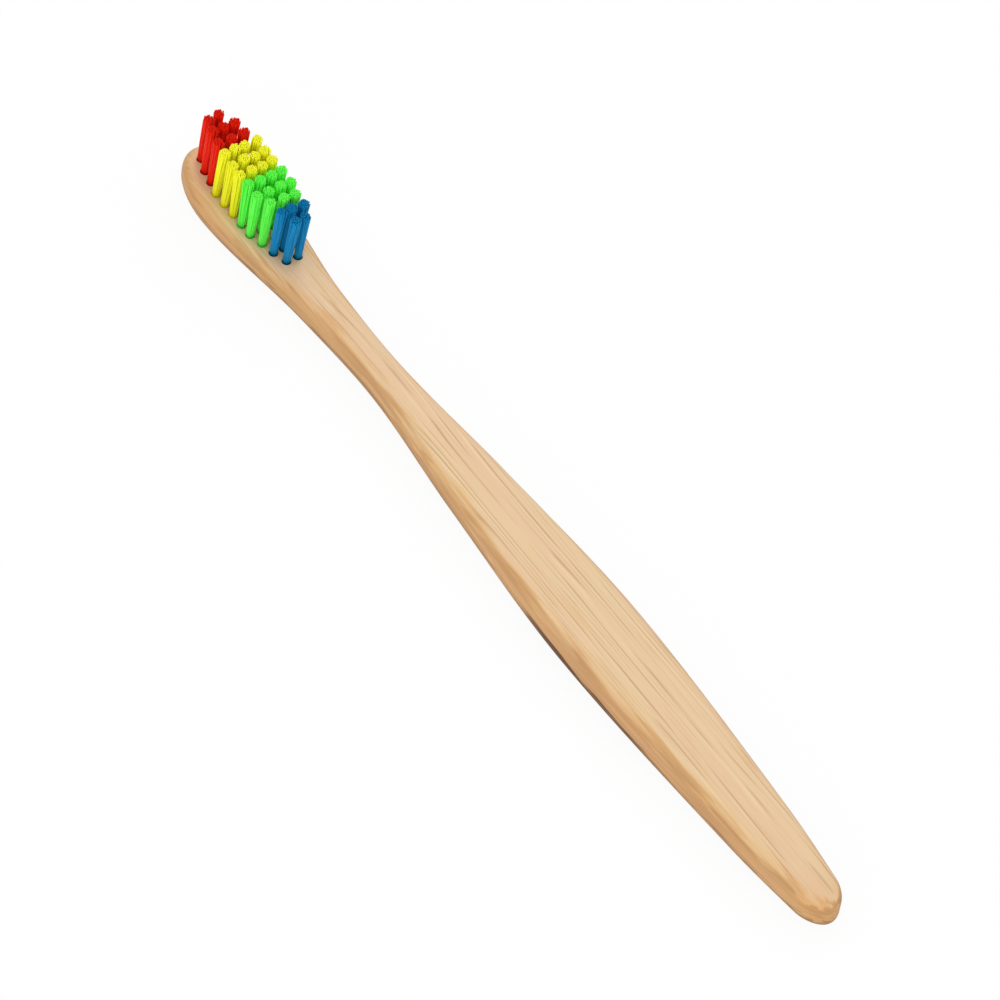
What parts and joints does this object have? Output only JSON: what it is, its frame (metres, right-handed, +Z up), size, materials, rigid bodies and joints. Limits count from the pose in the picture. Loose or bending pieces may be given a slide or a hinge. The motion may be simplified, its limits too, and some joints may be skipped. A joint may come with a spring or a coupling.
{
  "type": "manual toothbrush",
  "caption": "Manual toothbrush with a flat, waisted bamboo handle, a small oval head and upright tufts of coloured bristles trimmed level.",
  "frame": {"origin": "centre of the flat back that the brush lies on, halfway along its length", "axes": "+X along the brush from the head towards the handle's end, +Z up out of the head along the bristles, Y across the brush"},
  "size_m": [0.19, 0.0156, 0.0165],
  "materials": {
    "bamboo": "fine sanded bamboo with a thin matte wax, darker fibre lines along the length",
    "red_bristle": "satin nylon filaments",
    "yellow_bristle": "satin nylon filaments",
    "green_bristle": "satin nylon filaments",
    "blue_bristle": "satin nylon filaments",
    "anchor_brass": "flat drawn wire, cut"
  },
  "bodies": {
    "root": {"handle": "bamboo", "tuft_anchors": "anchor_brass", "red_tuft_1_1": "red_bristle", "red_tuft_1_2": "red_bristle", "red_tuft_2_1": "red_bristle", "red_tuft_2_2": "red_bristle", "red_tuft_2_3": "red_bristle", "red_tuft_3_1": "red_bristle", "red_tuft_3_2": "red_bristle", "red_tuft_3_3": "red_bristle", "yellow_tuft_4_1": "yellow_bristle", "yellow_tuft_4_2": "yellow_bristle", "yellow_tuft_4_3": "yellow_bristle", "yellow_tuft_4_4": "yellow_bristle", "yellow_tuft_5_1": "yellow_bristle", "yellow_tuft_5_2": "yellow_bristle", "yellow_tuft_5_3": "yellow_bristle", "yellow_tuft_5_4": "yellow_bristle", "yellow_tuft_6_1": "yellow_bristle", "yellow_tuft_6_2": "yellow_bristle", "yellow_tuft_6_3": "yellow_bristle", "yellow_tuft_6_4": "yellow_bristle", "green_tuft_7_1": "green_bristle", "green_tuft_7_2": "green_bristle", "green_tuft_7_3": "green_bristle", "green_tuft_7_4": "green_bristle", "green_tuft_8_1": "green_bristle", "green_tuft_8_2": "green_bristle", "green_tuft_8_3": "green_bristle", "green_tuft_8_4": "green_bristle", "green_tuft_9_1": "green_bristle", "green_tuft_9_2": "green_bristle", "green_tuft_9_3": "green_bristle", "blue_tuft_10_1": "blue_bristle", "blue_tuft_10_2": "blue_bristle", "blue_tuft_10_3": "blue_bristle", "blue_tuft_11_1": "blue_bristle", "blue_tuft_11_2": "blue_bristle"}
  },
  "joints": []
}
